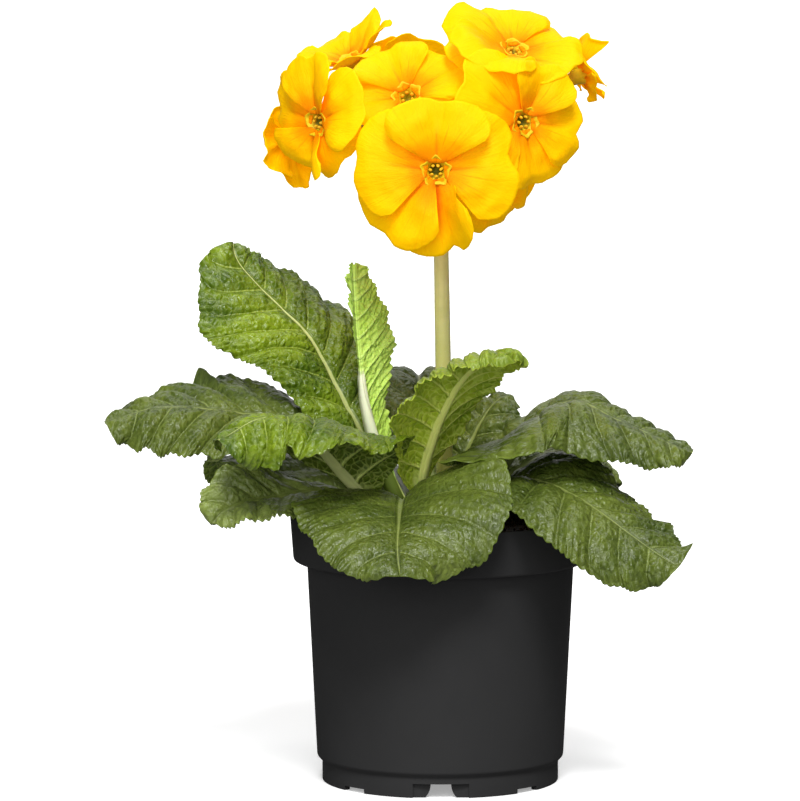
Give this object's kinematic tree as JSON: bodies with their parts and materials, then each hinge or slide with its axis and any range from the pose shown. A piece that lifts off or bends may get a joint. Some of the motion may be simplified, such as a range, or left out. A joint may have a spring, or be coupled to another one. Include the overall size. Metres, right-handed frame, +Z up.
{
  "type": "potted oxlip",
  "caption": "Potted oxlip: a rosette of crinkled, toothed leaves and one upright stalk with an umbel of yellow primrose flowers, in a round charcoal nursery pot.",
  "frame": {"origin": "centre of the whole plant's footprint in X and Y, at the level of the pot's foot; the pot's axis stands 14.8 mm to its right, on +X", "axes": "+Z up along the pot's axis and the flower stalk, -Y to the side that the picture shows, +X to its right"},
  "size_m": [0.2048, 0.1593, 0.2709],
  "materials": {
    "pot_plastic": "satin charcoal-black moulded plastic",
    "soil": "crumbly dark red-brown peat compost",
    "crown": "pale fibrous rootstock",
    "leaf_old": "dark grey-green crinkled leaf with a pale sheen and pale veins",
    "leaf_mid": "mid-green crinkled leaf with pale veins",
    "leaf_young": "light yellow-green young leaf with a whitish midrib",
    "stem": "pale yellow-green downy stalk",
    "petal": "matt bright-yellow petal, deeper orange-yellow at its foot",
    "bud": "yellow-green bud with a yellow tip"
  },
  "bodies": {
    "root": {"pot": "pot_plastic", "soil": "soil", "crown": "crown", "leaf_upper_left": "leaf_mid", "leaf_folded_young": "leaf_young", "leaf_left_long": "leaf_old", "leaf_left_front": "leaf_mid", "leaf_left_low": "leaf_old", "leaf_left_back": "leaf_old", "leaf_right_centre": "leaf_young", "leaf_front": "leaf_old", "leaf_right_long": "leaf_old", "leaf_right_low": "leaf_old", "leaf_right_behind": "leaf_old", "leaf_back_centre": "leaf_old", "leaf_back_right": "leaf_old", "leaf_right_back": "leaf_old", "leaf_back_low": "leaf_old", "flower_stalk": "stem", "bloom_front": "petal", "bloom_right_front": "petal", "bloom_left_front": "petal", "bloom_left_upper": "petal", "bloom_top_right": "petal", "bloom_top_back": "petal", "bloom_right_back": "petal", "bloom_left_top": "petal", "bloom_left_back": "petal", "bloom_right_low": "petal", "bloom_back_left": "petal", "bloom_back_right": "petal", "young_buds": "bud"}
  },
  "joints": []
}
